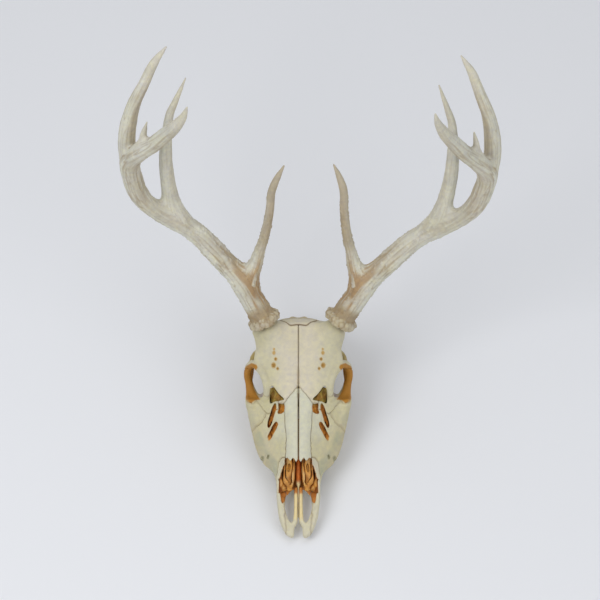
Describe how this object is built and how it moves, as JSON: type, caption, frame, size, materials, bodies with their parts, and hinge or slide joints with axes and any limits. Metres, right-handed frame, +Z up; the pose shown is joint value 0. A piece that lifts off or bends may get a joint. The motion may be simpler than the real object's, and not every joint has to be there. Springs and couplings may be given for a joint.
{
  "type": "deer skull",
  "caption": "Skull of an adult white-tailed deer buck with both antlers and without its lower jaw, lying on its upper cheek teeth and the processes beside its neck joint.",
  "frame": {"origin": "centre of the part's box, on the surface that it rests on", "axes": "+Z up, the nose points to -Y, and the animal's left is +X"},
  "size_m": [0.3846, 0.304, 0.4806],
  "materials": {
    "bone": "dry cream bone, fine-pored, with yellow-green and pinkish tints",
    "pale_bone": "smooth pale greenish-grey bone of the nose",
    "stained_bone": "thin rust-brown stained bone inside the nose and eye sockets",
    "antler": "ridged grey-beige antler with brown grooves",
    "antler_tip": "antler polished pale towards the tip"
  },
  "bodies": {
    "root": {"frontal_left": "bone", "frontal_right": "bone", "lacrimal_left": "bone", "lacrimal_right": "bone", "zygomatic_left": "bone", "zygomatic_right": "bone", "maxilla_left": "bone", "maxilla_right": "bone", "occipital": "bone", "temporal_left": "bone", "temporal_right": "bone", "parietal": "bone", "sphenoid": "bone", "nasal_left": "pale_bone", "nasal_right": "pale_bone", "premaxilla_left": "pale_bone", "premaxilla_right": "pale_bone", "turbinate_left": "stained_bone", "turbinate_right": "stained_bone", "vomer": "stained_bone", "burr_left": "antler", "beam_base_left": "antler", "beam_middle_left": "antler", "brow_tine_left": "antler", "second_tine_left": "antler", "third_tine_left": "antler", "fourth_tine_left": "antler", "burr_right": "antler", "beam_base_right": "antler", "beam_middle_right": "antler", "brow_tine_right": "antler", "second_tine_right": "antler", "third_tine_right": "antler", "fourth_tine_right": "antler", "beam_tip_left": "antler_tip", "beam_tip_right": "antler_tip"}
  },
  "joints": []
}
